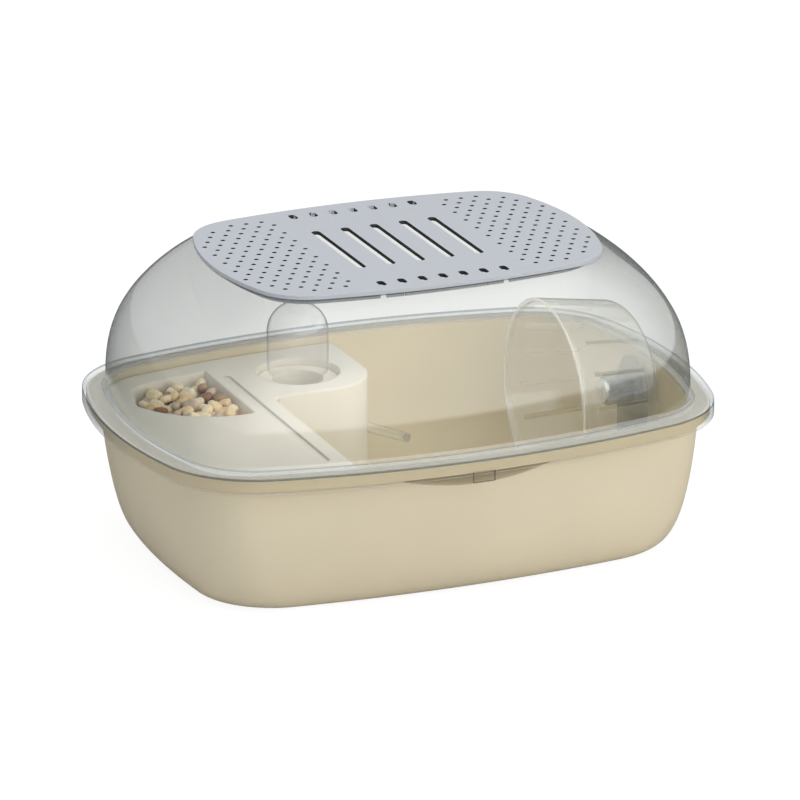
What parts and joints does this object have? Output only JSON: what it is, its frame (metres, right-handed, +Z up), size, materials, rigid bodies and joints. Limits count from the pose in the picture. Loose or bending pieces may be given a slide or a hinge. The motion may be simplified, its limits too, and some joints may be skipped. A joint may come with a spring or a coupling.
{
  "type": "domed pet keeper",
  "caption": "Small-animal keeper: moulded tub, clear dome with a lift-out perforated vent lid, feeder insert with bowl and inverted water bottle, and a clear running wheel.",
  "frame": {"origin": "middle of the footprint, on the tub's underside", "axes": "+X along the length towards the wheel, +Y to the back, +Z up"},
  "size_m": [0.32, 0.235, 0.1605],
  "materials": {
    "tub_plastic": "satin moulded",
    "feeder_plastic": "satin moulded",
    "feed": "dry grain",
    "bottle_clear": "clear",
    "cap_white": "satin moulded",
    "soft_seal": "soft",
    "tube_clear": "clear",
    "ball_glass": "polished",
    "stand_clear": "clear",
    "steel": "brushed",
    "wheel_clear": "clear",
    "bush_white": "moulded",
    "dome_clear": "clear",
    "lid_grey": "satin moulded"
  },
  "bodies": {
    "base": {"tub_shell": "tub_plastic", "wheel_stand": "stand_clear", "wheel_axle": "steel", "axle_clip": "steel"},
    "wheel": {"wheel_drum": "wheel_clear", "wheel_bush": "bush_white"},
    "feeder": {"feeder_tray": "feeder_plastic", "feed_mix": "feed", "spout_elbow": "cap_white", "spout_seal": "soft_seal", "drinking_tube": "tube_clear", "tube_grommet": "soft_seal"},
    "ball": {"valve_ball": "ball_glass"},
    "bottle": {"water_bottle": "bottle_clear", "bottle_cap": "cap_white", "cap_seal": "soft_seal"},
    "cover": {"dome_cover": "dome_clear", "cover_skirt": "dome_clear"},
    "lid": {"vent_lid": "lid_grey"}
  },
  "joints": [
    {"name": "wheel_spin", "type": "hinge", "parent": "base", "child": "wheel", "pos_m": [0.1288, 0.0043, 0.062], "axis": [1, 0, 0], "continuous": true},
    {"name": "feeder_lift", "type": "slide", "parent": "base", "child": "feeder", "axis": [0, 0, 1], "range_m": [0, 0.0042]},
    {"name": "bottle_lift", "type": "slide", "parent": "feeder", "child": "bottle", "axis": [0, 0, 1], "range_m": [0, 0.03]},
    {"name": "ball_push", "type": "slide", "parent": "feeder", "child": "ball", "axis": [-0.9317, 0, 0.3633], "range_m": [0, 0.002]},
    {"name": "cover_lift", "type": "slide", "parent": "base", "child": "cover", "axis": [0, 0, 1], "range_m": [0, 0.12]},
    {"name": "lid_lift", "type": "slide", "parent": "cover", "child": "lid", "axis": [0, 0, 1], "range_m": [0, 0.04]}
  ]
}
